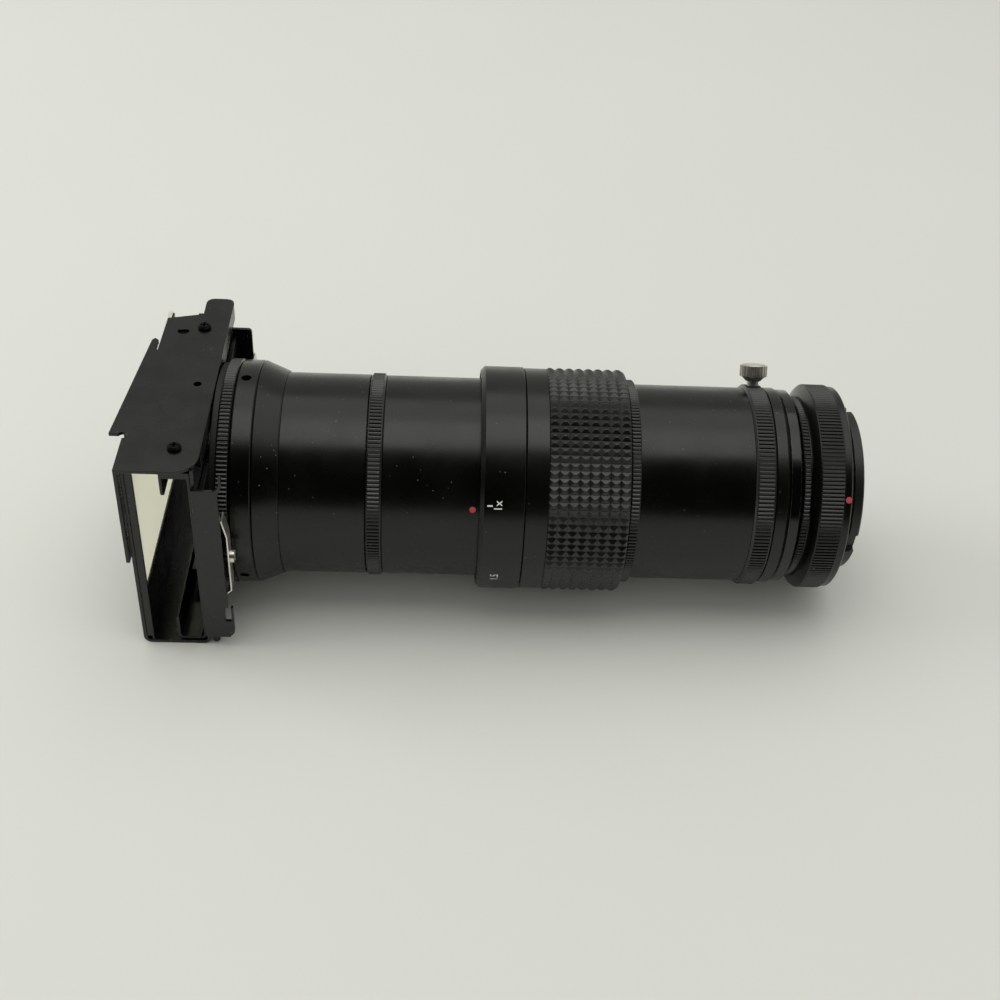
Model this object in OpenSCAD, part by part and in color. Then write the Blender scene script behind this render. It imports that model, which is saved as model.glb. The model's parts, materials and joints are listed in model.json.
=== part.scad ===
// Zoom slide duplicator: a slide stage, a zoom barrel with moving lens groups, and a
// camera adapter, all on one optical axis.
// +X runs along the optical axis towards the camera, +Z is up as the duplicator lies on a
// table, and the origin is on the axis at the seat that meets the camera's mount.

/* [Barrel] */
// Outside radius of the main barrel, from which every other ring is sized
barrel_r = 30.5; // [29:0.1:33]
// Wall of the main barrel
barrel_wall = 2.1; // [1.8:0.1:2.4]
// Length of main barrel that shows in front of the zoom ring
barrel_front_len = 28.4; // [24:0.2:36]
// Wall of the cam tube
cam_wall = 1.7; // [1.3:0.1:1.9]
// Wall of the guide tube
guide_wall = 1.8; // [1.4:0.1:2]
// Wall of a lens cell round its glass
cell_wall = 3.4; // [3:0.1:4]
// Length of each lens cell
cell_len = 14; // [13:0.5:15]
// Travel of the main lens group over the zoom range
main_travel = 24; // [18:0.5:24]
// Travel of the front lens group over the zoom range
front_travel = 16; // [10:0.5:16]
// Edge thickness of a lens element
glass_edge = 3; // [2:0.1:3.4]
// Radius of the ground surface of a lens element
glass_curve_r = 90; // [80:5:200]
// Radius of a cam follower pin
pin_r = 1.2; // [1:0.1:1.4]
// Radius of a zoom drive pin
drive_pin_r = 1.3; // [1:0.1:1.5]

/* [Zoom ring] */
// Wall of the zoom ring, from the main barrel's surface to the scale
zoom_ring_wall = 3.5; // [3:0.1:4.5]
// Length of the zoom scale ring
scale_ring_len = 13; // [8:0.5:18]
// Length of the smooth band next to the scale ring
name_band_len = 6.6; // [4:0.1:10]
// Length of the grip
grip_len = 23.8; // [16:0.2:32]
// Depth of the grooves between the grip's ridges
grip_groove = 0.9; // [0.4:0.1:1.2]
// Number of ridges along the grip
grip_ridges = 8; // [5:1:12]
// Turn of the zoom ring from its first mark to its stop, in degrees
zoom_turn = 120; // [100:1:130]
// Height of the retaining ring over the main barrel
retaining_ring_wall = 0.9; // [0.6:0.1:1.5]
// Length of the retaining ring
retaining_ring_len = 2.9; // [2:0.1:4]

/* [Rear of the barrel] */
// Wall of the rear tube
rear_tube_wall = 1.8; // [1.5:0.1:2]
// Length of rear tube that shows
rear_tube_len = 33.6; // [26:0.2:48]
// Wall of the knurled lock collar
lock_collar_wall = 1.85; // [1.6:0.05:3]
// Length of the knurled lock collar
lock_collar_len = 6.2; // [5.5:0.1:9]
// Length of the plain end band
end_band_len = 3.9; // [3.5:0.1:6]
// Length of the end band's spigot inside the rear tube
spigot_len = 16; // [12:1:24]
// Wall of that spigot
spigot_wall = 2.7; // [2:0.1:3]
// Length of the glossy collar in front of the screw thread
thread_collar_len = 3.5; // [3:0.1:6]

/* [Thumb screw] */
// Radius of the thumb screw's knurled head
thumb_head_r = 4.15; // [3:0.05:5]
// Height of the knurled head
thumb_head_h = 3.3; // [2.5:0.1:5]
// Radius of the thumb screw's shank
thumb_shank_r = 1.8; // [1.2:0.1:2]
// Elevation of the thumb screw round the barrel, in degrees
thumb_elev = 118; // [60:1:150]
// Number of ribs on the thumb screw's head
thumb_ribs = 24; // [18:1:36]

/* [Camera adapter] */
// Radius of the screw thread that joins barrel and adapter
thread_r = 21; // [20:0.1:22]
// Wall of the screwed-in insert
insert_wall = 3.6; // [3:0.1:4]
// Height of the insert's knurled rim over its body
insert_rim = 3.2; // [2:0.1:3.6]
// Length of the insert's knurled rim
insert_rim_len = 2.8; // [2:0.1:4]
// Height of the knurled adapter over its neck
adapter_rise = 3.4; // [2.5:0.1:4.5]
// Length of the adapter body along the axis
adapter_len = 11; // [10:0.5:14]
// Length of the plain band beside the seat
adapter_band_len = 2.2; // [1.8:0.1:3]
// Width of the bayonet's own seat flange
bayonet_seat_w = 3.2; // [2.5:0.1:4]
// Wall of the bayonet tube
bayonet_wall = 1.7; // [1.4:0.1:2]
// Height of a bayonet lug over its tube
bayonet_lug_h = 1.6; // [1.2:0.1:2]
// Thickness of a bayonet lug along the axis
bayonet_lug_t = 2.8; // [2:0.1:3.5]
// How far the bayonet reaches past the seat
bayonet_reach = 5.2; // [4.5:0.1:6]
// Angle of the gap between two lugs, in degrees
bayonet_gap = 16; // [12:1:40]

/* [Stage tube] */
// Length of the knurled coupling ring
coupling_ring_len = 4.7; // [4:0.1:7]
// Wall of the stage tube
stage_tube_wall = 2; // [1.7:0.1:2.4]
// Length of stage tube that shows
stage_tube_len = 24.9; // [18:0.1:36]
// Length of the tapered ring
taper_len = 7.5; // [5:0.1:10]
// Height of the stage collar over the stage tube
collar_rise = 3.45; // [2.5:0.05:4.5]
// Length of the plain stage collar
collar_len = 6.2; // [5:0.1:8]
// Length of the knurled stage lock ring
lock_ring_len = 3.6; // [3:0.1:5]
// Radius of a set screw in the stage collar
set_screw_r = 1.5; // [1.2:0.1:1.6]

/* [Slide stage] */
// Depth of the stage housing along the axis
housing_depth = 20.1; // [19.5:0.1:24]
// How far each side of the housing stands out past the stage collar
stage_side = 6.55; // [6:0.05:10]
// How far the housing's floor lies below the zoom ring
stage_foot = 0.5; // [0.3:0.1:1.5]
// Thickness of the stage's sheet steel
sheet_t = 1; // [0.8:0.1:1.2]
// Outside radius of the housing's folded corners
fold_r = 2.5; // [2:0.1:3.5]
// How far the side flanges stand out towards the barrel
flange_reach = 6.2; // [5.8:0.1:7]
// Thickness of the opal diffuser
diffuser_t = 1.2; // [1:0.1:1.4]
// Side of a square slide mount
slide_mount = 50.8; // [50:0.1:51]
// Clear depth of the slide gate along the axis
gate_depth = 6.9; // [6.5:0.1:7]
// Thickness of the stage base plate
base_t = 1.2; // [1:0.1:1.5]
// Thickness of the hub's flange along the axis
hub_flange_t = 1.7; // [1.4:0.1:2.2]
// Wall of the hub's spigot round the light path
hub_wall = 2.1; // [1.8:0.1:3]

/* [Fits] */
// How far the ribs of a knurled ring stand out; the solids are turned to the ribs' foot
knurl_depth = 0.3; // [0.1:0.05:0.4]
// Gap between curved faces that turn or slide on each other
run_gap = 0.3; // [0.2:0.05:0.4]
// Gap between flat faces that slide on each other
slide_gap = 0.3; // [0.2:0.05:0.3]
// Visible seam between two rings
seam = 0.2; // [0.1:0.05:0.3]
// Radial clearance of the thumb screw in its hole
screw_gap = 0.08; // [0.04:0.01:0.1]

/* [Hidden] */
$fn = 96;

// Extra length that carries a cut clear of the face it opens
cut = 1;
// Small chamfers on turned edges
edge = 0.4;
fine_edge = 0.2;
// Hairline between two pieces that are fixed to each other
hair = 0.05;
// Full and half turn, in degrees
full_turn = 360;

// Stations along the axis, from the camera seat towards the slide
x_adapter = -adapter_len;
x_insert = x_adapter - insert_rim_len;
thread_gap = 0.8;
x_thread_collar_end = x_insert - thread_gap;
x_thread_collar = x_thread_collar_end - thread_collar_len;
x_end_band = x_thread_collar - end_band_len;
x_lock_collar_end = x_end_band - seam;
x_lock_collar = x_lock_collar_end - lock_collar_len;
x_rear_tube = x_lock_collar - rear_tube_len;
x_retaining_end = x_rear_tube - seam;
x_retaining = x_retaining_end - retaining_ring_len;
x_grip_end = x_retaining - 2 * seam;
x_grip = x_grip_end - grip_len;
x_name_band = x_grip - name_band_len;
x_scale_ring_end = x_name_band - seam;
x_scale_ring = x_scale_ring_end - scale_ring_len;
x_barrel = x_scale_ring - barrel_front_len;
x_coupling_end = x_barrel - seam;
x_coupling = x_coupling_end - coupling_ring_len;
x_stage_tube_end = x_coupling - seam;
x_taper_end = x_stage_tube_end - stage_tube_len;
x_taper = x_taper_end - taper_len;
x_collar = x_taper - collar_len;
x_lock_ring_end = x_collar - seam;
x_lock_ring = x_lock_ring_end - lock_ring_len;
x_hub_flange_end = x_lock_ring - seam;
x_hub = x_hub_flange_end - hub_flange_t;
x_base = x_hub - base_t;
x_housing_end = x_base - seam;
x_housing = x_housing_end - housing_depth;

// Cam tube, guide tube and lens cells, from the main barrel inwards
barrel_bore_r = barrel_r - barrel_wall;
cam_r = barrel_bore_r - run_gap;
cam_bore_r = cam_r - cam_wall;
guide_gap = 0.4;
guide_r = cam_bore_r - guide_gap;
guide_bore_r = guide_r - guide_wall;
cell_r = guide_bore_r - run_gap;
glass_r = cell_r - cell_wall;
neck_step = 3.2;
neck_bore_r = barrel_bore_r - neck_step;

// Places of the pins and ends inside the barrel
joint_len = 2.8;
rear_joint_x = x_retaining_end - joint_len;
x_cam_end = rear_joint_x - run_gap;
drive_pin_margin = 1.2;
drive_pin_x = x_cam_end - drive_pin_r - drive_pin_margin;
slot_half = pin_r + run_gap;
slot_space = 3.2;
main_pin_x = drive_pin_x - drive_pin_r - slot_half - slot_space;
group_space = 1;
front_pin_x = main_pin_x - main_travel - 2 * slot_half - group_space;
guide_flange_t = 2;
cell_margin = 1.2;
x_guide_flange_end = front_pin_x - front_travel - cell_len / 2 - cell_margin;
x_guide = x_guide_flange_end - guide_flange_t;
x_cam = x_guide_flange_end + run_gap;
guide_end_gap = 0.8;
x_guide_end = rear_joint_x - guide_end_gap;
slot_over = 4;
slot_boxes = 8;
slot_overlap = 1;
follower_count = 3;
front_group_offset = full_turn / follower_count / 2;
drive_pin_count = 2;
pin_seat = 1;
pin_base_r = glass_r + pin_seat;
pin_top_r = cam_r - run_gap;
drive_pin_foot = 0.2;
glass_step = 2;
glass_step_r = glass_r - glass_step;
glass_step_half = 1;
retainer_w = 1.7;
retainer_t = 1.3;
glass_sag = glass_curve_r - sqrt(glass_curve_r ^ 2 - glass_r ^ 2);
retainer_sag = glass_curve_r - sqrt(glass_curve_r ^ 2 - (glass_r - retainer_w) ^ 2);
retainer_lift = glass_sag - retainer_sag + hair;

// Zoom ring
sleeve_bore_r = barrel_r + run_gap;
scale_ring_r = sleeve_bore_r + zoom_ring_wall;
scale_ring_t = 1.9;
sleeve_seat_r = scale_ring_r - scale_ring_t;
name_band_drop = 0.3;
name_band_r = scale_ring_r - name_band_drop;
grip_r = scale_ring_r;
grip_valley_r = grip_r - grip_groove;
grip_base_t = 0.8;
grip_seat_r = grip_valley_r - grip_base_t;
scale_chamfer = 1.2;
ridge_start = 0.35;
ridge_end = 0.65;
retaining_ring_r = barrel_r + retaining_ring_wall;

// Rear of the barrel
rear_step = 0.45;
rear_tube_r = barrel_r - rear_step;
rear_bore_r = rear_tube_r - rear_tube_wall;
rear_neck_len = 2;
spigot_r = rear_bore_r - run_gap;
spigot_bore_r = spigot_r - spigot_wall;
collar_seat_t = 1;
collar_seat_r = rear_bore_r + collar_seat_t;
lock_collar_r = collar_seat_r + lock_collar_wall;
collar_chamfer = 0.6;
end_band_rise = 0.25;
end_band_r = rear_tube_r + end_band_rise;
end_band_chamfer = 0.8;
thread_collar_drop = 0.5;
thread_collar_r = end_band_r - thread_collar_drop;

// Thumb screw
thumb_x = (x_lock_collar + x_lock_collar_end) / 2;
thumb_hole_r = thumb_shank_r + screw_gap;
thumb_tip = spigot_r + run_gap;
thumb_lift = 1.4;
thumb_neck_top = lock_collar_r + thumb_lift;
thumb_taper_h = 1.5;
thumb_taper_top = thumb_neck_top + thumb_taper_h;
thumb_taper_foot = 0.4;
thumb_rib_depth = 0.35;
thumb_cap_h = 0.3;
thumb_cap_in = 0.8;

// Camera adapter
insert_r = thread_r + insert_wall;
insert_rim_r = insert_r + insert_rim;
adapter_neck = 0.5;
adapter_neck_r = insert_rim_r + adapter_neck;
adapter_r = adapter_neck_r + adapter_rise;
adapter_chamfer = 1.6;
adapter_band_drop = 0.5;
adapter_band_r = adapter_r - adapter_band_drop;
seat_flange_step = 1.9;
seat_flange_r = insert_r + seat_flange_step;
seat_flange_t = 1.5;
bayonet_tube_r = seat_flange_r - bayonet_seat_w;
bayonet_lug_r = bayonet_tube_r + bayonet_lug_h;
bayonet_bore_r = bayonet_tube_r - bayonet_wall;
bayonet_gap_elev = 115;
bayonet_lugs = 3;
lug_proud = 0.2;
insert_end_gap = 1.7;
insert_end_x = -seat_flange_t - insert_end_gap;
thread_wall = 2.4;
thread_bore_r = thread_r - thread_wall;
thread_end_gap = 2.4;
thread_end_x = insert_end_x - thread_end_gap;
index_elev = 32;
dot_r = 0.95;
dot_depth = 0.5;
dot_drop = 0.04;
adapter_screw_elev = 91;
adapter_screw_count = 3;
adapter_screw_x = -adapter_len / 2;
adapter_screw_r = 1.3;
screw_drop = 0.2;
slot_w = 0.5;
slot_depth = 1;

// Stage tube and its rings
coupling_neck = 1.5;
coupling_neck_r = barrel_r - coupling_neck;
coupling_bore_r = coupling_neck_r + run_gap;
coupling_rise = 0.6;
coupling_ring_r = barrel_r + coupling_rise;
stage_tube_rise = 0.1;
stage_tube_r = barrel_r + stage_tube_rise;
stage_tube_bore_r = stage_tube_r - stage_tube_wall;
stage_neck_len = 7.5;
collar_seat_step = 0.6;
collar_bore_r = stage_tube_r - collar_seat_step;
collar_r = stage_tube_r + collar_rise;
taper_end_rise = 0.6;
taper_end_r = stage_tube_r + taper_end_rise;
taper_drop = 0.1;
set_screw_elev = 92;
set_screw_count = 3;
set_screw_shift = 0.4;
set_screw_x = (x_collar + x_taper) / 2 - set_screw_shift;
set_screw_sunk = 0.9;
socket_r = 0.8;
socket_depth = 1.3;
barrel_dot_elev = 20.5;
barrel_dot_in = 2;
barrel_dot_x = x_scale_ring - barrel_dot_in;

// Hub and base plate
hub_spigot_r = stage_tube_bore_r - run_gap;
hub_spigot_len = 9;
hub_bore_r = hub_spigot_r - hub_wall;
light_step = 2.2;
light_r = hub_bore_r - light_step;
hub_step = 1.6;
hub_r = stage_tube_bore_r + hub_step;
lock_ring_rise = 0.25;
lock_ring_r = collar_r + lock_ring_rise;
lock_ring_bore_r = hub_r + run_gap;
hub_flange_drop = 1.3;
hub_flange_r = lock_ring_r - hub_flange_drop;
base_screw_elevs = [30, 150, 210, 330];
base_screw_pcr = (hub_bore_r + hub_flange_r) / 2;
base_screw_r = 1;
base_screw_head_r = 2;
base_screw_short = 0.3;
base_slot_depth = 0.4;

// Stage housing
housing_half_w = collar_r + stage_side;
housing_low = scale_ring_r + stage_foot;
cover_high = hub_flange_r;
floor_z = -housing_low + sheet_t;
cover_z = cover_high - sheet_t;
lug_z = cover_z - sheet_t;
flange_side = 1.4;
flange_half_w = housing_half_w + flange_side;
flange_y = flange_half_w - sheet_t;
flange_edge_x = x_housing_end + flange_reach;
flange_low = housing_low - 4.3;
flange_high = cover_high - 7;
flange_far_high = cover_high - 8.5;
flange_corner_r = 1.2;
horn_h = 5;
horn_out = 1.4;
horn_t = 0.8;
hook_out = 1.4;
hook_slot = 0.8;
hook_slot_in = 1;
hook_r = 3;
hook_h = 12.2;
hook_slot_h = 5.6;
hook_top = hook_h - flange_low;
hook_floor = hook_top - hook_slot_h;
window_half_w = housing_half_w - 2.2;
window_high = cover_high - 2.6;
window_low = 18.5 - housing_low;
lug_reach = 14.8;
lug_half_w = 4.5;
cover_screw_in = 6.2;
cover_screw_x = x_housing_end - cover_screw_in;
cover_screw_near_y = 8.6 - housing_half_w;
cover_screw_far_y = housing_half_w - 12.3;
cover_screw_r = 0.9;
cover_screw_head_r = 2;
cover_screw_head_h = 1.3;
cover_screw_dome = 0.6;
cross_half = 1.1;
cross_depth = 0.8;

// Base plate, seen behind the housing
base_half_w = housing_half_w;
base_low = housing_low - 8.8;
base_high = cover_high - 11;
base_window_half_h = base_high - 3.4;
stop_pin_r = 1.1;
stop_pin_y = 1.6 - base_half_w;
stop_pin_low = housing_low - 0.4;
stop_pin_root = 3;

// Cover
cover_near_y = -housing_half_w - 1.7;
cover_far_y = housing_half_w - 7.3;
cover_far_right_y = housing_half_w - 4.5;
cover_left_in = 1.9;
cover_left_x = x_housing + cover_left_in;
wing_x = x_housing - sheet_t - run_gap;
wing_far_y = housing_half_w - 29.1;
wing_low = 1;
wing_window_top = cover_high - 2.6;
cover_right_x = x_housing_end + sheet_t;
cover_corner_r = 7;
cover_flange_low = cover_high - 5.5;
cover_flange_near_y = 7.6 - housing_half_w;
cover_flange_far_y = housing_half_w + 1.8;
tab_w = 8.6;
tab_left_x = cover_right_x - tab_w;
tab_far_y = housing_half_w + 4.6;
tab_corner_r = 2.4;
prong_w = 2.3;
prong_len = 10.6;
prong_far_y = wing_far_y + prong_len;
prong_tip = 1;
prong_taper = 0.3;
prong_root_y = wing_far_y + 4.4;
flare_out = 4;
flare_gap = 0.6;
cover_corner_slant = 0.4;
notch_in = 15.8;
notch_y = cover_near_y + notch_in;
notch_r = 1.4;
key_hole_r = 1.8;
key_hole_in = 6.2;
key_hole_shift = 2;
key_hole_flat = 1;
pilot_hole_r = 1.2;
pilot_hole_out = 2;
pilot_hole_y = -1.2;

// Diffuser and its frame
diffuser_half_w = housing_half_w - 0.9;
diffuser_gap = 0.2;
diffuser_low = floor_z + fold_r - sheet_t;
diffuser_top = cover_z - run_gap;
x_diffuser = x_housing + sheet_t + diffuser_gap;
frame_gap = 0.1;
frame_t = 0.6;
x_frame = x_diffuser + diffuser_t + frame_gap;
x_frame_lip = x_housing + sheet_t + hair;
frame_half_w = housing_half_w - diffuser_gap;
frame_far_y = housing_half_w - 2.4;
frame_rim = 0.4;
frame_window_half_w = diffuser_half_w - frame_rim;
frame_window_far_y = frame_far_y - 1.2;
frame_window_low = -12.9;
frame_window_high = cover_high - 2.6;

// Slide carriage
carriage_t = 0.8;
carriage_fold_r = 2;
carriage_in = 0.6;
carriage_half_w = housing_half_w - carriage_in;
carriage_x_end = x_housing_end - sheet_t - slide_gap;
carriage_x = carriage_x_end - carriage_t;
lip_x = carriage_x - gate_depth - carriage_t;
carriage_low = floor_z + slide_gap;
carriage_high = lug_z - slide_gap;
mount_half = slide_mount / 2;
rail_high = 1.1 - mount_half;
finger_low = mount_half - 3.7;
finger_w = 13;
finger_tip_r = 2;
ledge_half_w = 18;
ledge_start = 0.6;
hem_h = 2.1;
gate_half = mount_half - 6.4;
spring_t = 0.35;
spring_w = 4;
spring_half_l = 16;
spring_bow = 4;
spring_flat = 3;
spring_crest = 5;
spring_turn = 0.2;

// Leaf springs that hold the housing against the base plate
post_r = 1.2;
post_margin = 0.3;
post_y = flange_y - post_r - post_margin;
post_z = 0.2;
post_hole_len = 2;
leaf_t = 0.4;
leaf_w = 4.4;
leaf_shift = 0.1;
leaf_stand = 1.3;
leaf_x = flange_edge_x + leaf_stand;
leaf_low = post_z - 11.5;
leaf_high = post_z + 8.8;
leaf_toe = 1.2;
leaf_heel = 6;
leaf_screw_r = 0.8;
leaf_head_r = 1.9;
leaf_head_h = 1.2;
leaf_slot_w = 0.6;

// The elevations of a set of places spread evenly round the axis
function spread(first, count) = [for (i = [0:count - 1]) first + i * full_turn / count];
drive_pin_elevs = spread(90, drive_pin_count);
adapter_screw_elevs = spread(adapter_screw_elev, adapter_screw_count);
set_screw_elevs = spread(set_screw_elev, set_screw_count);

// Turns a profile of [radius, x] points round the optical axis
module turned(points) {
    rotate([0, 90, 0]) rotate_extrude() polygon(points);
}

// A plain ring from x0 to x1, with chamfered outer edges
module ring(x0, x1, r_out, r_in, chamfer = edge) {
    turned([
        [r_in, x0], [r_out - chamfer, x0], [r_out, x0 + chamfer],
        [r_out, x1 - chamfer], [r_out - chamfer, x1], [r_in, x1]
    ]);
}

// Places what points up +Z at an elevation round the axis: 0 faces -Y and 90 faces up
module at_elev(elev, x) {
    translate([x, 0, 0]) rotate([90 - elev, 0, 0]) children();
}

// A round rod or drill along the radius at an elevation
module radial_rod(elev, x, r, r_from, r_to) {
    at_elev(elev, x) translate([0, 0, r_from]) cylinder(h = r_to - r_from, r = r);
}

// A box given by its lowest and highest corners
module block(low, high) {
    translate(low) cube(high - low);
}

// A flat outline in X and Z, made solid from y0 to y1
module across_y(y0, y1) {
    translate([0, y1, 0]) rotate([90, 0, 0]) linear_extrude(y1 - y0) children();
}

// A lens element: flat on the step side, ground to a curve on the other
module lens(flat_x, side) {
    translate([flat_x, 0, 0]) scale([side, 1, 1]) rotate([0, 90, 0]) rotate_extrude()
        intersection() {
            square([glass_r, glass_edge + glass_sag]);
            translate([0, glass_edge + glass_sag - glass_curve_r])
                circle(r = glass_curve_r, $fn = 360);
        }
}

// The set of follower places round the axis
function follower_elev(i, offset) = 90 + offset + i * full_turn / follower_count;

// One helical slot of the cam tube, as short straight cuts along the helix
module cam_slot(pin_x, travel, elev) {
    rise = travel / zoom_turn;
    turn = zoom_turn + 2 * slot_over;
    step = turn / slot_boxes;
    mid_r = (cam_r + cam_bore_r) / 2;
    arc = 2 * PI * mid_r / full_turn;
    slope = atan2(arc, rise);
    run = step * sqrt(rise ^ 2 + arc ^ 2) + slot_overlap;
    for (i = [0:slot_boxes - 1]) {
        a = -slot_over + (i + 0.5) * step;
        at_elev(elev - a, pin_x - rise * a)
            rotate([0, 0, slope])
                translate([-run / 2, -slot_half, cam_bore_r - 2 * cut])
                    cube([run, 2 * slot_half, cam_wall + 4 * cut]);
    }
}

module bayonet_ring() {
    lug_foot_r = (bayonet_bore_r + bayonet_tube_r) / 2;
    tube_end = bayonet_reach - lug_proud;
    lug_turn = full_turn / bayonet_lugs;
    color("#2a2b2d") {
        turned([
            [bayonet_bore_r, -seat_flange_t], [seat_flange_r, -seat_flange_t],
            [seat_flange_r, 0], [bayonet_tube_r, 0], [bayonet_tube_r, tube_end],
            [bayonet_bore_r, tube_end]
        ]);
        for (i = [0:bayonet_lugs - 1]) {
            rotate([90 - bayonet_gap_elev - bayonet_gap / 2 + i * lug_turn, 0, 0])
                rotate([0, -90, 0]) rotate_extrude(angle = lug_turn - bayonet_gap) polygon([
                    [lug_foot_r, -bayonet_reach], [bayonet_lug_r - edge, -bayonet_reach],
                    [bayonet_lug_r, edge - bayonet_reach],
                    [bayonet_lug_r, bayonet_lug_t - bayonet_reach],
                    [lug_foot_r, bayonet_lug_t - bayonet_reach]
                ]);
        }
    }
}

module adapter_body() {
    knurl_foot_r = adapter_r - knurl_depth;
    color("#232426") difference() {
        turned([
            [insert_r, x_adapter], [adapter_neck_r, x_adapter],
            [knurl_foot_r, x_adapter + adapter_chamfer], [knurl_foot_r, -adapter_band_len],
            [adapter_band_r, -adapter_band_len], [adapter_band_r, -edge],
            [adapter_band_r - edge, 0], [seat_flange_r, 0],
            [seat_flange_r, -seat_flange_t], [insert_r, -seat_flange_t]
        ]);
        for (elev = adapter_screw_elevs) {
            radial_rod(elev, adapter_screw_x, adapter_screw_r, insert_r - cut, adapter_r + cut);
        }
        radial_rod(index_elev, -adapter_band_len / 2, dot_r, adapter_band_r - dot_depth,
            adapter_r + cut);
    }
}

module adapter_insert() {
    rim_r = insert_rim_r - knurl_depth;
    color("#1f2022") turned([
        [thread_r, x_insert], [rim_r - edge, x_insert], [rim_r, x_insert + edge],
        [rim_r, x_adapter], [insert_r, x_adapter], [insert_r, insert_end_x],
        [thread_r, insert_end_x]
    ]);
}

module adapter_set_screws() {
    color("#101012") for (elev = adapter_screw_elevs) {
        difference() {
            radial_rod(elev, adapter_screw_x, adapter_screw_r, insert_r + hair,
                adapter_band_r - screw_drop);
            at_elev(elev, adapter_screw_x)
                translate([-adapter_screw_r, -slot_w / 2, adapter_band_r - slot_depth])
                    cube([2 * adapter_screw_r, slot_w, cut]);
        }
    }
}

module mount_index_dot() {
    color("#c8302c") radial_rod(index_elev, -adapter_band_len / 2, dot_r,
        adapter_band_r - dot_depth, adapter_band_r - dot_drop);
}

module thread_collar() {
    color("#26272a") turned([
        [thread_bore_r, x_end_band], [spigot_bore_r, x_end_band], [spigot_bore_r, x_thread_collar],
        [thread_collar_r - edge, x_thread_collar], [thread_collar_r, x_thread_collar + edge],
        [thread_collar_r, x_thread_collar_end - edge], [thread_collar_r - edge, x_thread_collar_end],
        [thread_r, x_thread_collar_end], [thread_r, thread_end_x],
        [thread_bore_r, thread_end_x]
    ]);
}

module end_band() {
    color("#1d1e20") turned([
        [spigot_r, x_end_band], [end_band_r, x_end_band],
        [end_band_r, x_thread_collar - end_band_chamfer],
        [end_band_r - end_band_chamfer, x_thread_collar], [spigot_r, x_thread_collar]
    ]);
}

module rear_mount_tube() {
    color("#232426") ring(x_end_band - spigot_len, x_thread_collar, spigot_r, spigot_bore_r,
        fine_edge);
}

module thumb_screw() {
    color("#c9c8c2") at_elev(thumb_elev, thumb_x) {
        translate([0, 0, thumb_tip]) cylinder(h = thumb_neck_top - thumb_tip, r = thumb_shank_r);
        translate([0, 0, thumb_neck_top])
            cylinder(h = thumb_taper_h, r1 = thumb_shank_r + thumb_taper_foot,
                r2 = thumb_head_r - thumb_rib_depth);
        translate([0, 0, thumb_taper_top]) linear_extrude(thumb_head_h)
            polygon([for (i = [0:thumb_ribs - 1]) for (k = [0:3])
                let (r = k < 2 ? thumb_head_r : thumb_head_r - thumb_rib_depth,
                    a = (i + [0.05, 0.5, 0.6, 0.95][k]) * full_turn / thumb_ribs)
                [r * cos(a), r * sin(a)]]);
        translate([0, 0, thumb_taper_top + thumb_head_h])
            cylinder(h = thumb_cap_h, r1 = thumb_head_r - thumb_rib_depth,
                r2 = thumb_head_r - thumb_cap_in);
    }
}

module lock_collar() {
    color("#1b1c1e") difference() {
        ring(x_lock_collar, x_lock_collar_end, lock_collar_r - knurl_depth, collar_seat_r,
            collar_chamfer);
        radial_rod(thumb_elev, thumb_x, thumb_hole_r, rear_bore_r, lock_collar_r + cut);
    }
}

module rear_tube() {
    color("#1a1b1d") difference() {
        turned([
            [neck_bore_r, rear_joint_x], [barrel_bore_r, rear_joint_x],
            [barrel_bore_r, x_retaining_end], [rear_tube_r, x_retaining_end],
            [rear_tube_r, x_lock_collar], [collar_seat_r, x_lock_collar],
            [collar_seat_r, x_lock_collar_end], [rear_bore_r, x_lock_collar_end],
            [rear_bore_r, x_rear_tube + rear_neck_len], [neck_bore_r, x_rear_tube + rear_neck_len]
        ]);
        radial_rod(thumb_elev, thumb_x, thumb_hole_r, rear_bore_r - cut, rear_tube_r + cut);
    }
}

module retaining_ring() {
    color("#1b1c1e")
        ring(x_retaining, x_retaining_end, retaining_ring_r - knurl_depth, barrel_r, fine_edge);
}

module zoom_grip() {
    pitch = grip_len / grip_ridges;
    color("#141415") turned(concat(
        [[grip_seat_r, x_grip], [grip_valley_r, x_grip]],
        [for (i = [0:grip_ridges - 1]) for (p = [
            [grip_r, x_grip + (i + ridge_start) * pitch],
            [grip_r, x_grip + (i + ridge_end) * pitch],
            [grip_valley_r, x_grip + (i + 1) * pitch]
        ]) p],
        [[grip_seat_r, x_grip_end]]
    ));
}

module zoom_sleeve() {
    color("#1c1d1f") difference() {
        turned([
            [sleeve_bore_r, x_scale_ring + edge], [sleeve_seat_r, x_scale_ring + edge],
            [sleeve_seat_r, x_name_band], [name_band_r - fine_edge, x_name_band],
            [name_band_r, x_name_band + fine_edge], [name_band_r, x_grip],
            [grip_seat_r, x_grip], [grip_seat_r, x_grip_end], [sleeve_bore_r, x_grip_end]
        ]);
        for (elev = drive_pin_elevs) {
            radial_rod(elev, drive_pin_x, drive_pin_r, barrel_r, grip_r + cut);
        }
    }
}

module zoom_scale_ring() {
    color("#202123") turned([
        [sleeve_seat_r, x_scale_ring], [scale_ring_r - scale_chamfer, x_scale_ring],
        [scale_ring_r, x_scale_ring + scale_chamfer], [scale_ring_r, x_scale_ring_end - fine_edge],
        [scale_ring_r - fine_edge, x_scale_ring_end], [sleeve_seat_r, x_scale_ring_end]
    ]);
}

module zoom_drive_pins() {
    color("#b9b9b4") for (elev = drive_pin_elevs) {
        radial_rod(elev, drive_pin_x, drive_pin_r, cam_bore_r + drive_pin_foot,
            grip_seat_r - hair);
    }
}

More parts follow.
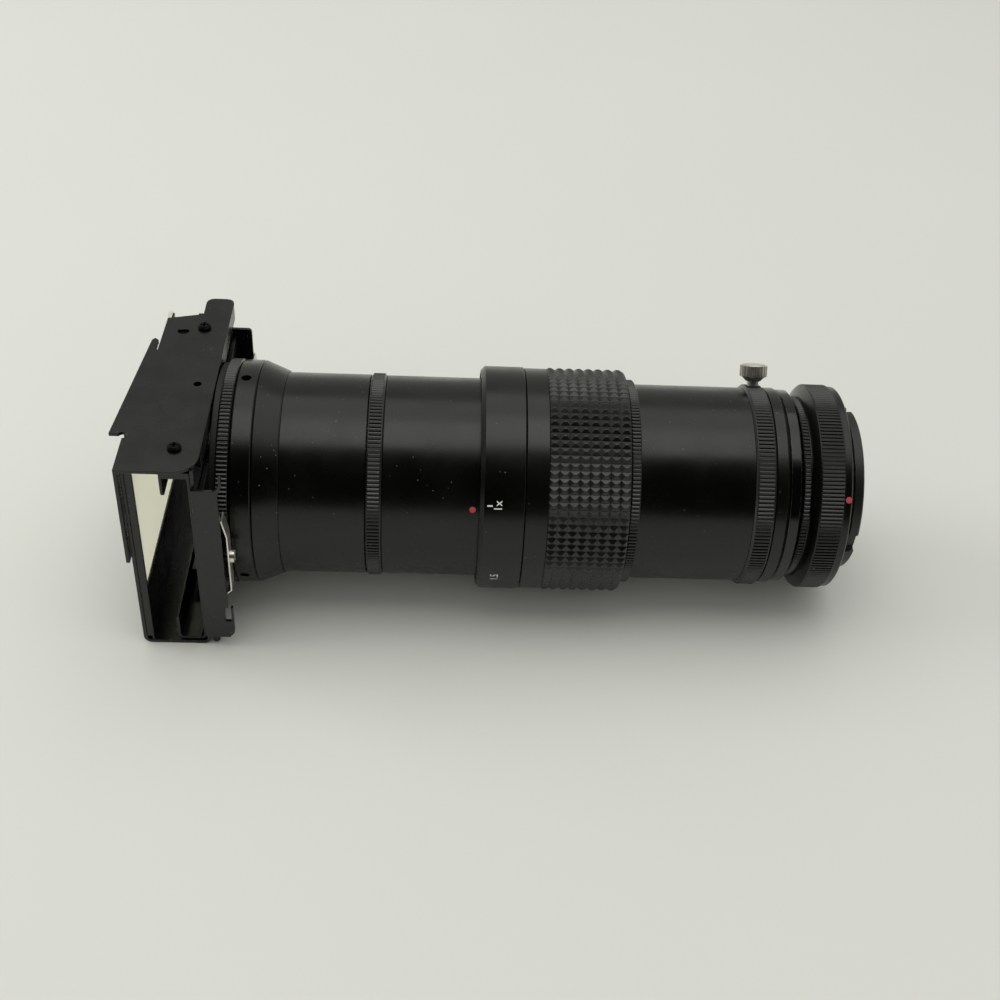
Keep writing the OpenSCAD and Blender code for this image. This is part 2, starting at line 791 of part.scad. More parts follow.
module cam_tube() {
    color("#8d8f92") difference() {
        turned([[cam_bore_r, x_cam], [cam_r, x_cam], [cam_r, x_cam_end], [cam_bore_r, x_cam_end]]);
        for (i = [0:follower_count - 1]) {
            cam_slot(main_pin_x, main_travel, follower_elev(i, 0));
            cam_slot(front_pin_x, front_travel, follower_elev(i, front_group_offset));
        }
        for (elev = drive_pin_elevs) {
            radial_rod(elev, drive_pin_x, drive_pin_r, guide_r, cam_r + cut);
        }
    }
}

module guide_tube() {
    color("#3a3b3d") difference() {
        turned([
            [guide_bore_r, x_guide], [barrel_bore_r, x_guide], [barrel_bore_r, x_guide_flange_end],
            [guide_r, x_guide_flange_end], [guide_r, x_guide_end], [guide_bore_r, x_guide_end]
        ]);
        for (i = [0:follower_count - 1]) {
            at_elev(follower_elev(i, 0), main_pin_x)
                translate([-main_travel - slot_half, -slot_half, guide_bore_r - cut])
                    cube([main_travel + 2 * slot_half, 2 * slot_half, guide_wall + 2 * cut]);
            at_elev(follower_elev(i, front_group_offset), front_pin_x)
                translate([-front_travel - slot_half, -slot_half, guide_bore_r - cut])
                    cube([front_travel + 2 * slot_half, 2 * slot_half, guide_wall + 2 * cut]);
        }
    }
}

// A lens cell with a step in the middle that the elements seat on
module lens_cell(pin_x, offset) {
    difference() {
        turned([
            [glass_r, pin_x - cell_len / 2], [cell_r, pin_x - cell_len / 2],
            [cell_r, pin_x + cell_len / 2], [glass_r, pin_x + cell_len / 2],
            [glass_r, pin_x + glass_step_half], [glass_step_r, pin_x + glass_step_half],
            [glass_step_r, pin_x - glass_step_half], [glass_r, pin_x - glass_step_half]
        ]);
        for (i = [0:follower_count - 1]) {
            radial_rod(follower_elev(i, offset), pin_x, pin_r, pin_base_r, cell_r + cut);
        }
    }
}

// The ring that holds an element against the step; side is -1 in front and 1 behind
module lens_retainer(pin_x, side) {
    near = glass_step_half + glass_edge + retainer_lift;
    translate([pin_x, 0, 0]) scale([side, 1, 1]) turned([
        [glass_r - retainer_w, near], [glass_r, near],
        [glass_r, near + retainer_t], [glass_r - retainer_w, near + retainer_t]
    ]);
}

module cam_pins(pin_x, offset) {
    for (i = [0:follower_count - 1]) {
        radial_rod(follower_elev(i, offset), pin_x, pin_r, pin_base_r, pin_top_r);
    }
}

module main_lens_cell() {
    color("#2b2c2e") lens_cell(main_pin_x, 0);
}

module main_front_glass() {
    color("#b8c8d8", 0.5) lens(main_pin_x - glass_step_half, -1);
}

module main_rear_glass() {
    color("#b8c8d8", 0.5) lens(main_pin_x + glass_step_half, 1);
}

module main_lens_retainers() {
    color("#1a1b1c") {
        lens_retainer(main_pin_x, -1);
        lens_retainer(main_pin_x, 1);
    }
}

module main_cam_pins() {
    color("#c8a24a") cam_pins(main_pin_x, 0);
}

module front_lens_cell() {
    color("#2b2c2e") lens_cell(front_pin_x, front_group_offset);
}

module front_glass() {
    color("#b8c8d8", 0.5) lens(front_pin_x - glass_step_half, -1);
}

module front_lens_retainer() {
    color("#1a1b1c") lens_retainer(front_pin_x, -1);
}

module front_cam_pins() {
    color("#c8a24a") cam_pins(front_pin_x, front_group_offset);
}

module main_barrel() {
    slot_x = drive_pin_r + run_gap;
    color("#1e1f21") difference() {
        turned([
            [neck_bore_r, x_stage_tube_end - stage_neck_len],
            [stage_tube_bore_r, x_stage_tube_end - stage_neck_len],
            [stage_tube_bore_r, x_stage_tube_end], [coupling_neck_r, x_stage_tube_end],
            [coupling_neck_r, x_barrel], [barrel_r, x_barrel],
            [barrel_r, x_retaining_end], [barrel_bore_r, x_retaining_end],
            [barrel_bore_r, x_guide], [neck_bore_r, x_guide]
        ]);
        for (elev = drive_pin_elevs) {
            rotate([90 - elev + slot_over, 0, 0]) rotate([0, -90, 0])
                translate([0, 0, -drive_pin_x - slot_x])
                    rotate_extrude(angle = zoom_turn + 2 * slot_over)
                        translate([barrel_bore_r - cut, 0])
                            square([barrel_r - barrel_bore_r + 2 * cut, 2 * slot_x]);
        }
        radial_rod(barrel_dot_elev, barrel_dot_x, dot_r, barrel_r - dot_depth, barrel_r + cut);
    }
}

module barrel_index_dot() {
    color("#c8302c") radial_rod(barrel_dot_elev, barrel_dot_x, dot_r,
        barrel_r - dot_depth, barrel_r - dot_drop);
}

module coupling_ring() {
    color("#1b1c1e")
        ring(x_coupling, x_coupling_end, coupling_ring_r - knurl_depth, coupling_bore_r);
}

module stage_tube() {
    color("#1c1d1f") turned([
        [stage_tube_bore_r, x_collar + seam], [collar_bore_r, x_collar + seam],
        [collar_bore_r, x_taper_end], [stage_tube_r, x_taper_end],
        [stage_tube_r, x_stage_tube_end], [stage_tube_bore_r, x_stage_tube_end]
    ]);
}

module tapered_ring() {
    color("#202123") turned([
        [collar_bore_r, x_taper], [collar_r - edge, x_taper],
        [collar_r - taper_drop, x_taper + edge], [taper_end_r, x_taper_end - edge],
        [taper_end_r - fine_edge, x_taper_end],
        [collar_bore_r, x_taper_end]
    ]);
}

module stage_collar() {
    color("#202123") difference() {
        ring(x_collar, x_taper, collar_r, collar_bore_r);
        for (elev = set_screw_elevs) {
            radial_rod(elev, set_screw_x, set_screw_r, collar_bore_r - cut, collar_r + cut);
        }
    }
}

module stage_collar_screws() {
    color("#101012") for (elev = set_screw_elevs) {
        difference() {
            radial_rod(elev, set_screw_x, set_screw_r, collar_bore_r + hair,
                collar_r - set_screw_sunk);
            at_elev(elev, set_screw_x)
                translate([0, 0, collar_r - set_screw_sunk - socket_depth])
                    cylinder(h = socket_depth + cut, r = socket_r, $fn = 6);
        }
    }
}

module stage_lock_ring() {
    color("#1b1c1e")
        ring(x_lock_ring, x_lock_ring_end, lock_ring_r - knurl_depth, lock_ring_bore_r);
}

module stage_hub() {
    color("#36373a") difference() {
        turned([
            [hub_bore_r, x_hub], [hub_flange_r, x_hub], [hub_flange_r, x_hub_flange_end],
            [hub_r, x_hub_flange_end], [hub_r, x_lock_ring_end],
            [hub_spigot_r, x_lock_ring_end], [hub_spigot_r, x_lock_ring_end + hub_spigot_len],
            [hub_bore_r, x_lock_ring_end + hub_spigot_len]
        ]);
        for (elev = base_screw_elevs) {
            at_elev(elev, x_hub) translate([0, 0, base_screw_pcr]) rotate([0, 90, 0])
                translate([0, 0, -cut])
                    cylinder(h = cut + hub_flange_t - base_screw_short / 2, r = base_screw_r);
        }
    }
}

module stage_base_plate() {
    color("#18191b") difference() {
        union() {
            block([x_base, -base_half_w, -base_low], [x_hub, base_half_w, base_high]);
            translate([x_base + stop_pin_r + 2 * hair, stop_pin_y, -stop_pin_low])
                cylinder(h = stop_pin_low - base_low + stop_pin_root, r = stop_pin_r);
        }
        intersection() {
            translate([x_base - cut, 0, 0]) rotate([0, 90, 0])
                cylinder(h = base_t + 2 * cut, r = hub_bore_r);
            block([x_base - 2 * cut, -base_half_w, -base_window_half_h],
                [x_hub + 2 * cut, base_half_w, base_window_half_h]);
        }
        for (elev = base_screw_elevs) {
            at_elev(elev, x_base) translate([0, 0, base_screw_pcr]) rotate([0, 90, 0]) {
                translate([0, 0, -cut]) cylinder(h = base_t + 2 * cut, r = base_screw_r);
                cylinder(h = base_screw_head_r - base_screw_r, r1 = base_screw_head_r,
                    r2 = base_screw_r);
            }
        }
    }
}

module base_plate_screws() {
    color("#8a8a86") for (elev = base_screw_elevs) {
        at_elev(elev, x_base) translate([0, 0, base_screw_pcr]) rotate([0, 90, 0])
            difference() {
                union() {
                    cylinder(h = base_t + hub_flange_t - base_screw_short, r = base_screw_r);
                    cylinder(h = base_screw_head_r - base_screw_r, r1 = base_screw_head_r,
                        r2 = base_screw_r);
                }
                translate([-base_screw_head_r, -slot_w / 2, -cut])
                    cube([2 * base_screw_head_r, slot_w, cut + base_slot_depth]);
            }
    }
}

module spring_posts() {
    color("#2a2b2d") for (side = [-1, 1]) {
        translate([x_hub, side * post_y, post_z]) rotate([0, 90, 0]) difference() {
            cylinder(h = leaf_x - x_hub, r = post_r);
            translate([0, 0, leaf_x - x_hub - post_hole_len])
                cylinder(h = post_hole_len + cut, r = leaf_screw_r);
        }
    }
}

module leaf_springs() {
    end_x = flange_edge_x + leaf_shift;
    color("#d6d5cf") for (side = [-1, 1]) {
        middle = side * (post_y + leaf_shift);
        difference() {
            across_y(middle - leaf_w / 2, middle + leaf_w / 2) polygon([
                [leaf_x, leaf_low], [end_x, leaf_low - leaf_toe],
                [end_x + leaf_t, leaf_low - leaf_toe - leaf_shift],
                [leaf_x + leaf_t, leaf_low - leaf_shift],
                [leaf_x + leaf_t, leaf_high + leaf_shift],
                [end_x + leaf_t, leaf_high + leaf_heel + leaf_shift],
                [end_x, leaf_high + leaf_heel], [leaf_x, leaf_high]
            ]);
            translate([leaf_x - cut, side * post_y, post_z]) rotate([0, 90, 0])
                cylinder(h = leaf_t + 2 * cut, r = leaf_screw_r);
        }
    }
}

module leaf_spring_screws() {
    color("#d9d8d2") for (side = [-1, 1]) {
        translate([leaf_x + leaf_t, side * post_y, post_z]) rotate([0, 90, 0]) difference() {
            union() {
                translate([0, 0, -post_hole_len])
                    cylinder(h = post_hole_len + leaf_head_h / 2, r = leaf_screw_r);
                cylinder(h = leaf_head_h, r = leaf_head_r);
            }
            translate([-leaf_head_r, -leaf_slot_w / 2, leaf_head_h / 2])
                cube([2 * leaf_head_r, leaf_slot_w, cut]);
        }
    }
}

// A square-cornered profile with rounded lower corners, in X and Z
module tray_profile(x0, x1, z0, z1, r) {
    translate([x0, z0 + r]) square([x1 - x0, z1 - z0 - r]);
    translate([x0 + r, z0]) square([x1 - x0 - 2 * r, r]);
    translate([x0 + r, z0 + r]) circle(r = r);
    translate([x1 - r, z0 + r]) circle(r = r);
}

// The outline of one side flange, with a hook at its lower corner and, near only, a bent horn
module flange_outline(top, horned) {
    hook_x = flange_edge_x + hook_out;
    difference() {
        union() {
            translate([x_housing_end - sheet_t, -flange_low])
                square([flange_edge_x - x_housing_end + sheet_t,
                    flange_low + top - flange_corner_r]);
            translate([x_housing_end - sheet_t, top - flange_corner_r])
                square([flange_edge_x - x_housing_end + sheet_t - flange_corner_r,
                    flange_corner_r]);
            translate([flange_edge_x - flange_corner_r, top - flange_corner_r])
                circle(r = flange_corner_r);
            translate([flange_edge_x - hook_r, -flange_low + hook_r])
                square([hook_r + hook_out, flange_low - hook_r + hook_top]);
            translate([hook_x - hook_r, -flange_low + hook_r]) circle(r = hook_r);
            translate([flange_edge_x - hook_r, -flange_low]) square([hook_out, hook_r]);
            if (horned) translate([flange_edge_x, top]) polygon([
                [-flange_corner_r, -flange_corner_r], [0, -flange_corner_r],
                [horn_out - horn_t / 2, horn_h / 7], [horn_out, horn_h / 2], [horn_out, horn_h],
                [horn_out - horn_t, horn_h], [horn_out - horn_t, horn_h / 2],
                [0, horn_h / 5], [-flange_corner_r, 0]
            ]);
        }
        translate([flange_edge_x - hook_slot_in, hook_floor])
            square([hook_slot_in + hook_slot, hook_top - hook_floor]);
        translate([flange_edge_x, hook_top - cut]) square([hook_slot, 2 * cut]);
    }
}

module stage_housing() {
    color("#17181a") difference() {
        union() {
            across_y(-housing_half_w, housing_half_w) difference() {
                tray_profile(x_housing, x_housing_end, -housing_low, cover_z, fold_r);
                tray_profile(x_housing + sheet_t, x_housing_end - sheet_t, floor_z,
                    cover_z + cut, fold_r - sheet_t);
            }
            block([x_housing_end - sheet_t, -flange_half_w, -flange_low],
                [x_housing_end, flange_half_w, flange_high]);
            across_y(-flange_half_w, -flange_y) flange_outline(flange_high, true);
            across_y(flange_y, flange_half_w) flange_outline(flange_far_high, false);
            for (y = [cover_screw_near_y, cover_screw_far_y]) {
                block([x_housing_end - lug_reach, y - lug_half_w, lug_z],
                    [x_housing_end, y + lug_half_w, cover_z]);
            }
        }
        block([x_housing - cut, -window_half_w, window_low],
            [x_housing + sheet_t + cut, window_half_w, window_high]);
        block([x_housing - cut, wing_far_y, window_low],
            [x_housing + sheet_t + cut, housing_half_w + cut, cover_z + cut]);
        translate([x_housing_end - sheet_t - cut, 0, 0]) rotate([0, 90, 0])
            cylinder(h = sheet_t + 2 * cut, r = light_r);
        for (y = [cover_screw_near_y, cover_screw_far_y]) {
            translate([cover_screw_x, y, lug_z - cut])
                cylinder(h = sheet_t + 2 * cut, r = cover_screw_r);
        }
    }
}

// The outline of the cover's top plate, in X and Y
module cover_outline() {
    corner_x = cover_right_x - cover_corner_r;
    polygon([
        [wing_x, cover_near_y], [corner_x, cover_near_y],
        for (a = [15:15:75])
            [corner_x + cover_corner_r * sin(a), cover_near_y + cover_corner_r * (1 - cos(a))],
        [cover_right_x, cover_near_y + cover_corner_r], [cover_right_x, tab_far_y - 2 * tab_corner_r],
        for (a = [0:30:90])
            [cover_right_x - tab_corner_r * (1 - cos(a)), tab_far_y - tab_corner_r * (1 - sin(a))],
        for (a = [0:30:90])
            [tab_left_x + tab_corner_r * (1 - sin(a)), tab_far_y - tab_corner_r * (1 - cos(a))],
        [tab_left_x, cover_far_right_y], [cover_left_x, cover_far_y],
        [cover_left_x - cover_corner_slant, prong_root_y],
        [wing_x + prong_w, prong_root_y],
        [wing_x + prong_w, prong_far_y - prong_tip], [wing_x + prong_w / 2, prong_far_y],
        [wing_x + prong_taper, prong_far_y - prong_tip],
        [wing_x - flare_out, notch_y + flare_gap], [wing_x, notch_y + flare_gap]
    ]);
}

module stage_cover() {
    color("#1a1b1d") difference() {
        union() {
            translate([0, 0, cover_z]) linear_extrude(sheet_t) cover_outline();
            block([x_housing_end, cover_flange_near_y, cover_flange_low],
                [cover_right_x, cover_flange_far_y, cover_z + sheet_t / 2]);
            block([wing_x, cover_near_y, -wing_low],
                [wing_x + sheet_t, wing_far_y, cover_z + sheet_t / 2]);
        }
        block([wing_x - cut, -window_half_w, -wing_low - cut],
            [wing_x + sheet_t + run_gap, wing_far_y + cut, wing_window_top]);
        for (y = [cover_screw_near_y, cover_screw_far_y]) {
            translate([cover_screw_x, y, cover_z - cut])
                cylinder(h = sheet_t + 2 * cut, r = cover_screw_r);
        }
        translate([cover_screw_x - key_hole_in, cover_screw_far_y - key_hole_shift, cover_z - cut])
            intersection() {
                cylinder(h = sheet_t + 2 * cut, r = key_hole_r);
                block([-key_hole_r - cut, -key_hole_r - cut, 0],
                    [key_hole_r + cut, key_hole_flat, sheet_t + 2 * cut]);
            }
        translate([cover_screw_x + pilot_hole_out, pilot_hole_y, cover_z - cut])
            cylinder(h = sheet_t + 2 * cut, r = pilot_hole_r);
        translate([wing_x, notch_y, cover_z - cut])
            cylinder(h = sheet_t + 2 * cut, r = notch_r);
    }
}

module cover_screws() {
    color("#0e0e10") for (y = [cover_screw_near_y, cover_screw_far_y]) {
        translate([cover_screw_x, y, cover_high]) difference() {
            union() {
                translate([0, 0, -2 * sheet_t]) cylinder(h = 2 * sheet_t, r = cover_screw_r);
                cylinder(h = cover_screw_head_h - cover_screw_dome, r = cover_screw_head_r);
                translate([0, 0, cover_screw_head_h - cover_screw_dome])
                    cylinder(h = cover_screw_dome, r1 = cover_screw_head_r,
                        r2 = cover_screw_head_r - cover_screw_dome);
            }
            for (a = [0, 90]) {
                rotate([0, 0, a])
                    translate([-cross_half, -slot_w / 2, cover_screw_head_h - cross_depth])
                        cube([2 * cross_half, slot_w, cut]);
            }
        }
    }
}

module opal_diffuser() {
    color("#f2efe4") block([x_diffuser, -diffuser_half_w, diffuser_low],
        [x_diffuser + diffuser_t, diffuser_half_w, diffuser_top]);
}

module diffuser_frame() {
    color("#141517") difference() {
        union() {
            block([x_frame, -frame_half_w, floor_z],
                [x_frame + frame_t, frame_far_y, diffuser_top]);
            block([x_frame_lip, -frame_half_w, diffuser_low],
                [x_frame + frame_t, frame_t - frame_half_w, diffuser_top]);
        }
        block([x_frame - cut, -frame_window_half_w, frame_window_low],
            [x_frame + frame_t + cut, frame_window_far_y, frame_window_high]);
    }
}

// One finger that keeps the slide's top edge in the gate
module gate_finger(y0) {
    y1 = y0 + finger_w;
    block([lip_x, y0, finger_low + finger_tip_r], [lip_x + carriage_t, y1, carriage_high]);
    block([lip_x, y0 + finger_tip_r, finger_low],
        [lip_x + carriage_t, y1 - finger_tip_r, carriage_high]);
    for (y = [y0 + finger_tip_r, y1 - finger_tip_r]) {
        translate([lip_x, y, finger_low + finger_tip_r]) rotate([0, 90, 0])
            cylinder(h = carriage_t, r = finger_tip_r);
    }
}

module slide_carriage() {
    color("#151618") difference() {
        union() {
            across_y(-carriage_half_w, carriage_half_w) difference() {
                tray_profile(lip_x, carriage_x_end, carriage_low, carriage_high, carriage_fold_r);
                tray_profile(lip_x + carriage_t, carriage_x, carriage_low + carriage_t,
                    carriage_high - carriage_t, carriage_fold_r - carriage_t);
                translate([lip_x - cut, rail_high])
                    square([cut + 2 * carriage_t, carriage_high - carriage_t - rail_high]);
            }
            gate_finger(-carriage_half_w);
            gate_finger(carriage_half_w - finger_w);
            for (y = [-carriage_half_w, carriage_half_w - carriage_t]) {
                block([lip_x, y, carriage_high - hem_h], [carriage_x_end, y + carriage_t, carriage_high]);
            }
            for (z = [-mount_half - carriage_t, mount_half]) {
                block([carriage_x - gate_depth + ledge_start, -ledge_half_w, z],
                    [carriage_x_end, ledge_half_w, z + carriage_t]);
            }
        }
        block([carriage_x - cut / 2, -gate_half, -gate_half],
            [carriage_x_end + cut, gate_half, gate_half]);
    }
}

module slide_springs() {
    flat_y = spring_half_l - spring_flat;
    color("#cfcec8") for (z = [-gate_half - run_gap - spring_w, gate_half + run_gap]) {
        translate([carriage_x, 0, z]) linear_extrude(spring_w) polygon([
            [0, -spring_half_l], [0, -flat_y], [-spring_bow, -spring_crest],
            [-spring_bow, spring_crest], [0, flat_y], [0, spring_half_l],
            [-spring_t, spring_half_l], [-spring_t, flat_y - spring_turn],
            [-spring_bow - spring_t, spring_crest + spring_turn],
            [-spring_bow - spring_t, -spring_crest - spring_turn],
            [-spring_t, spring_turn - flat_y], [-spring_t, -spring_half_l]
        ]);
    }
}

bayonet_ring();
adapter_body();
adapter_insert();
adapter_set_screws();
mount_index_dot();
thread_collar();
end_band();
rear_mount_tube();
thumb_screw();
lock_collar();
rear_tube();
retaining_ring();
zoom_grip();
zoom_sleeve();
zoom_scale_ring();
zoom_drive_pins();
cam_tube();
guide_tube();
main_lens_cell();
main_front_glass();
main_rear_glass();
main_lens_retainers();
main_cam_pins();
front_lens_cell();
front_glass();
front_lens_retainer();
front_cam_pins();
main_barrel();
barrel_index_dot();
coupling_ring();
stage_tube();
tapered_ring();
stage_collar();
stage_collar_screws();
stage_lock_ring();
stage_hub();
stage_base_plate();
base_plate_screws();
spring_posts();
leaf_springs();
leaf_spring_screws();
stage_housing();
stage_cover();
cover_screws();
opal_diffuser();
diffuser_frame();
slide_carriage();
slide_springs();
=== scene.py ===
# %% [markdown]
# # Zoom slide duplicator
# A slide duplicator photographs a mounted slide: the slide stands in the sheet-steel stage at
# the left, in front of an opal sheet, and the zoom barrel carries its picture to the camera
# at the right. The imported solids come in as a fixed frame, and their shapes stay as they are.
# This file gives them their surfaces, adds what is too fine for the solids, such as the ribs
# of the knurled rings, the points of the grip and the scale figures, and then sets up the
# table, the light and the camera of the photo.

# %% Frame
import json
import math

import bpy
from mathutils import Matrix, Vector


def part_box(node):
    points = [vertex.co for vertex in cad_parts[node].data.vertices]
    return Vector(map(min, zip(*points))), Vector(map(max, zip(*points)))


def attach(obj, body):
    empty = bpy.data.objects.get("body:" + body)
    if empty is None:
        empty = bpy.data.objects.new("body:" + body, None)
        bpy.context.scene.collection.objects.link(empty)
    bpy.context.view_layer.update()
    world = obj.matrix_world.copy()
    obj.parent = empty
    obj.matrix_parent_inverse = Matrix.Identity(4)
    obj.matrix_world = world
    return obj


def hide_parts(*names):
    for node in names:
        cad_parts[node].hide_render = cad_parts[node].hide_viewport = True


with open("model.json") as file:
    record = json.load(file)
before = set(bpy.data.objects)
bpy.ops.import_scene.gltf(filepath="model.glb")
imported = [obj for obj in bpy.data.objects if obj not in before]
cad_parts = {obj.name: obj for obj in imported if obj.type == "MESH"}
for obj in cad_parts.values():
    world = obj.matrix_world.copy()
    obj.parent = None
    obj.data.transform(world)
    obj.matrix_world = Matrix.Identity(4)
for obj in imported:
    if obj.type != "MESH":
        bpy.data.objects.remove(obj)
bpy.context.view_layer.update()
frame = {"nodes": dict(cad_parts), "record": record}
MM = 0.001

# %% [markdown]
# ## Colours and nodes
# A hex colour is written the way a screen shows it, but Blender computes in linear light, so
# every colour passes through `rgb` once. A shader is a tree of nodes. They could be placed by
# hand in the editor, or each by a few lines of code; one function, `add`, does it here, so
# that a material reads as a list of what it is made of. Its dict names the sockets: a number
# or colour is set, and a node or an output is linked.

# %% Colours and nodes


def rgb(code):
    """A hex colour as linear RGBA."""
    parts = [int(code[i : i + 2], 16) / 255 for i in (1, 3, 5)]
    return [c / 12.92 if c <= 0.04045 else ((c + 0.055) / 1.055) ** 2.4 for c in parts] + [1]


def wire(node, sockets):
    """Sets or links the sockets of a node."""
    for name, value in sockets.items():
        if isinstance(value, bpy.types.Node):
            value = value.outputs[0]
        if isinstance(value, bpy.types.NodeSocket):
            node.id_data.links.new(value, node.inputs[name])
        else:
            node.inputs[name].default_value = value


def add(tree, kind, sockets=None, **settings):
    """One shader node of that kind, with its settings and its sockets."""
    made = tree.nodes.new("ShaderNode" + kind)
    for name, value in settings.items():
        setattr(made, name, value)
    wire(made, sockets or {})
    return made


def surface(name, sockets):
    """A new material: itself, its tree, its main shader and the piece's own coordinates."""
    made = bpy.data.materials.new(name)
    made.use_nodes = True
    tree = made.node_tree
    bsdf = tree.nodes["Principled BSDF"]
    wire(bsdf, sockets)
    return made, tree, bsdf, add(tree, "TexCoord").outputs["Object"]


print("helpers ready, black is", rgb("#000000"))

# %% [markdown]
# ## Sizes of patterns
# Image textures would need photographs of each surface; noise made by the renderer needs
# none and has no seams. It is laid in each piece's own coordinates, which are metres in the
# part's frame, so a noise scale is one over the real size of its grains. Real edges are never
# quite sharp. Rounding them in the mesh would change the solids, so a Bevel node bends the
# normal there instead, and the edge catches light as a small radius does.

# %% Sizes of patterns


def grains(size_mm):
    """The noise scale whose grains are about that size."""
    return 1 / (size_mm * MM)


EDGE_SAMPLES = 6
DUST_COLOUR = rgb("#8f8e88")


def sharp_edges(tree, radius_mm):
    """1 along sharp outer edges, where a finish wears first, and 0 on faces."""
    soft = add(tree, "Bevel", {"Radius": radius_mm * MM}, samples=EDGE_SAMPLES)
    flat = add(tree, "NewGeometry").outputs["Normal"]
    agree = add(tree, "VectorMath", {0: soft, 1: flat}, operation="DOT_PRODUCT").outputs["Value"]
    return add(
        tree,
        "MapRange",
        {"Value": agree, "From Min": 0.97, "From Max": 0.8, "To Min": 0, "To Max": 1},
    )


print("a 0.25 mm grain has a scale of", grains(0.25))

# %% [markdown]
# ## Black anodised aluminium
# The tubes and rings are aluminium, turned on a lathe and anodised black. Anodising grows a
# clear oxide layer over the dyed metal and keeps the fine tool lines, so the eye sees a deep
# black with a long satin highlight that is a little streaked and cloudy. It could be a plain
# black with one roughness, but the highlight would then look like plastic. Here noise that is
# drawn out sixty times round the axis makes the tool lines, broad clouds vary the roughness,
# and rare grains of dust cling. Real tool lines are 0.1 mm apart or less, too fine for this
# render, so they are drawn at 0.25 mm. The lowest index of refraction suits a sealed layer,
# and the knurled crests, which hands have polished, take the higher one of bare oxide.

# %% Anodised aluminium


def anodised(name, colour, roughness, line_depth_mm, ior):
    """Turned and anodised aluminium: tool lines, cloudy sheen and dust."""
    made, tree, bsdf, coords = surface(
        name, {"Base Color": rgb(colour), "Roughness": roughness, "IOR": ior}
    )
    scale = [grains(0.25), grains(15), grains(15)]
    along = add(tree, "Mapping", {"Vector": coords, "Scale": scale})
    lines = add(tree, "TexNoise", {"Vector": along, "Scale": 1, "Detail": 2})
    edge = add(tree, "Bevel", {"Radius": 0.22 * MM}, samples=EDGE_SAMPLES)
    turned = {"Height": lines, "Distance": line_depth_mm * MM, "Strength": 1, "Normal": edge}
    clouds = add(tree, "TexNoise", {"Vector": coords, "Scale": grains(14), "Detail": 4})
    sheen = {
        "Value": clouds,
        "From Min": 0.35,
        "From Max": 0.7,
        "To Min": roughness - 0.04,
        "To Max": roughness + 0.06,
    }
    dust = add(tree, "TexNoise", {"Vector": coords, "Scale": grains(0.9), "Detail": 1})
    few = {"Value": dust, "From Min": 0.77, "From Max": 0.8, "To Min": 0, "To Max": 0.35}
    share = add(tree, "MapRange", few)
    dusty = add(tree, "Mix", {0: share, 6: rgb(colour), 7: DUST_COLOUR}, data_type="RGBA")
    wire(
        bsdf,
        {
            "Base Color": dusty.outputs[2],
            "Roughness": add(tree, "MapRange", sheen),
            "Normal": add(tree, "Bump", turned),
        },
    )
    return made


satin = anodised("anodised_aluminium_satin", "#040403", 0.27, 0.0018, 1.46)
knurl = anodised("anodised_aluminium_knurled", "#070706", 0.27, 0.001, 1.62)
matt = anodised("anodised_aluminium_matt", "#0e0e0e", 0.6, 0.004, 1.46)
print("anodised", satin.name, knurl.name, matt.name)

# %% [markdown]
# ## Black enamel on brass
# The thread collar and the bayonet are brass, sprayed with black enamel and baked. Enamel is
# a smooth glassy film: on the collar it mirrors the room sharply over a slight ripple, and on
# the bayonet, which rubs on every camera, it has gone satin. Its first wear is on sharp edges,
# where the brass under it shows as a thin bright line. Scratches could be painted on by hand;
# here the edge itself is found by comparing the bevelled normal with the true one, and noise
# breaks the line up, so that it lies where real wear would.

# %% Enamel


def enamelled(name, colour, roughness):
    """Black enamel on brass, worn through to the metal on sharp edges."""
    made, tree, bsdf, coords = surface(
        name, {"Base Color": rgb(colour), "Roughness": roughness, "IOR": 1.5}
    )
    ripple = add(tree, "TexNoise", {"Vector": coords, "Scale": grains(6), "Detail": 2})
    edge = add(tree, "Bevel", {"Radius": 0.2 * MM}, samples=EDGE_SAMPLES)
    film = {"Height": ripple, "Distance": 0.01 * MM, "Strength": 1, "Normal": edge}
    patches = add(tree, "TexNoise", {"Vector": coords, "Scale": grains(1.5), "Detail": 4})
    broken = add(
        tree,
        "MapRange",
        {"Value": patches, "From Min": 0.45, "From Max": 0.6, "To Min": 0, "To Max": 1},
    )
    wear = add(tree, "Math", {0: sharp_edges(tree, 0.14), 1: broken}, operation="MULTIPLY")
    worn = add(tree, "Mix", {0: wear, 6: rgb(colour), 7: rgb("#c9c2b2")}, data_type="RGBA")
    gloss = {"Value": wear, "From Min": 0, "From Max": 1, "To Min": roughness, "To Max": 0.3}
    wire(
        bsdf,
        {
            "Base Color": worn.outputs[2],
            "Metallic": wear,
            "Roughness": add(tree, "MapRange", gloss),
            "Normal": add(tree, "Bump", film),
        },
    )
    return made


enamel = enamelled("enamel_gloss_black_on_brass", "#050506", 0.14)
satin_enamel = enamelled("enamel_satin_black_on_brass", "#131312", 0.42)
print("enamel", enamel.name, satin_enamel.name)

# %% [markdown]
# ## Painted sheet steel
# The slide stage is folded from steel sheet, about 1 mm thick, and sprayed with semi-gloss
# black paint. Sprayed paint dries with a faint orange peel, whose dimples are near 0.7 mm
# across, and thins out on folds and cut edges, where rubs lay the steel bare. Fingers leave
# broad smudges in the gloss. All three are noises of those sizes; a plain gloss black would
# show the stage's big flat plates as perfect mirrors.

